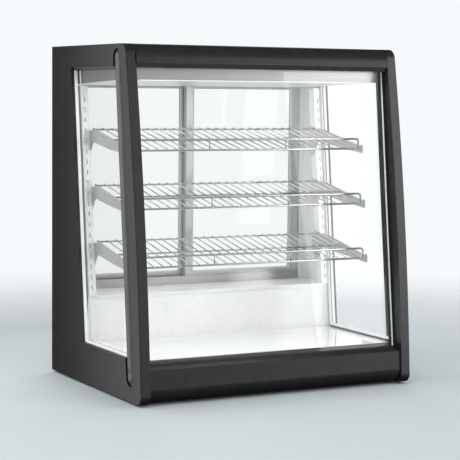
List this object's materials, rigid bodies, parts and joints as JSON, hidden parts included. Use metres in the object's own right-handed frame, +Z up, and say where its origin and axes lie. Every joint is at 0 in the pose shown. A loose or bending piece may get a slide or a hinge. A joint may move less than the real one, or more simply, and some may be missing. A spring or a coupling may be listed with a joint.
{
  "type": "bakery display case",
  "caption": "Countertop display case with a leaning glass front, glass sides, tilted wire shelves on slotted pilasters, sliding rear glass doors and a lamp.",
  "frame": {"origin": "centre of the footprint, at the underside of the feet on the worktop", "axes": "+Z up, +Y towards the operator's sliding doors at the rear, +X to the customer's right"},
  "size_m": [0.711, 0.5239, 0.8],
  "materials": {
    "black_shell": "satin black powder coat",
    "black_panel": "satin black, fine texture",
    "bright_liner": "bright satin sheet",
    "black_rubber": "matt",
    "pane_glass": "clear polished",
    "pale_trim": "semi-gloss white",
    "stainless": "fine brushed",
    "zinc_steel": "bright zinc plate",
    "chrome_wire": "bright chrome plate",
    "aluminium_frame": "satin anodised",
    "white_enamel": "gloss white enamel",
    "grey_steel": "matt grey coat",
    "screw_steel": "zinc plated",
    "black_plastic": "fine texture",
    "nylon": "natural nylon",
    "diffuser": "opal",
    "driver_case": "satin"
  },
  "bodies": {
    "case": {"base_pan": "grey_steel", "bottom_front_rail": "black_shell", "ceiling_liner": "white_enamel", "deck_plate": "white_enamel", "door_bottom_track": "aluminium_frame", "door_top_track": "aluminium_frame", "foot_front_left": "black_rubber", "foot_front_right": "black_rubber", "foot_rear_left": "black_rubber", "foot_rear_right": "black_rubber", "foot_screws": "screw_steel", "front_glass": "pane_glass", "header": "stainless", "housing_front_panel": "white_enamel", "lamp_diffuser": "diffuser", "lamp_end_caps": "black_plastic", "lamp_housing": "aluminium_frame", "led_driver": "driver_case", "ledge": "stainless", "left_bracket_lower": "zinc_steel", "left_bracket_middle": "zinc_steel", "left_bracket_upper": "zinc_steel", "left_end_panel": "black_panel", "left_glass_seal": "black_rubber", "left_glazing_beads": "pale_trim", "left_pilaster": "zinc_steel", "left_post_insert": "black_rubber", "left_side_glass": "pane_glass", "left_wall_liner": "bright_liner", "power_inlet": "black_plastic", "rear_lower_panel": "grey_steel", "rear_panel_screws": "screw_steel", "right_bracket_lower": "zinc_steel", "right_bracket_middle": "zinc_steel", "right_bracket_upper": "zinc_steel", "right_end_panel": "black_panel", "right_glass_seal": "black_rubber", "right_glazing_beads": "pale_trim", "right_pilaster": "zinc_steel", "right_post_insert": "black_rubber", "right_side_glass": "pane_glass", "right_wall_liner": "bright_liner", "sill_gasket": "black_rubber", "switch_bezel": "black_plastic", "top_front_rail": "black_shell", "top_panel": "black_shell", "top_rail_lip": "aluminium_frame"},
    "left_door": {"left_door_frame": "aluminium_frame", "left_door_glass": "pane_glass", "left_door_glides": "nylon", "left_door_pull": "black_plastic"},
    "right_door": {"right_door_frame": "aluminium_frame", "right_door_glass": "pane_glass", "right_door_glides": "nylon", "right_door_pull": "black_plastic"},
    "shelf_upper": {"shelf_upper": "chrome_wire"},
    "shelf_middle": {"shelf_middle": "chrome_wire"},
    "shelf_lower": {"shelf_lower": "chrome_wire"},
    "switch_rocker": {"switch_rocker": "black_plastic"}
  },
  "joints": [
    {"name": "left_door_slide", "type": "slide", "parent": "case", "child": "left_door", "axis": [1, 0, 0], "range_m": [0, 0.3]},
    {"name": "right_door_slide", "type": "slide", "parent": "case", "child": "right_door", "axis": [1, 0, 0], "range_m": [-0.3, 0]},
    {"name": "shelf_upper_lift", "type": "slide", "parent": "case", "child": "shelf_upper", "axis": [0, 0, 1], "range_m": [0, 0.05]},
    {"name": "shelf_middle_lift", "type": "slide", "parent": "case", "child": "shelf_middle", "axis": [0, 0, 1], "range_m": [0, 0.05]},
    {"name": "shelf_lower_lift", "type": "slide", "parent": "case", "child": "shelf_lower", "axis": [0, 0, 1], "range_m": [0, 0.05]},
    {"name": "switch_rock", "type": "hinge", "parent": "case", "child": "switch_rocker", "pos_m": [-0.23, 0.253, 0.06], "axis": [-1, 0, 0], "range_deg": [0, 18]}
  ]
}
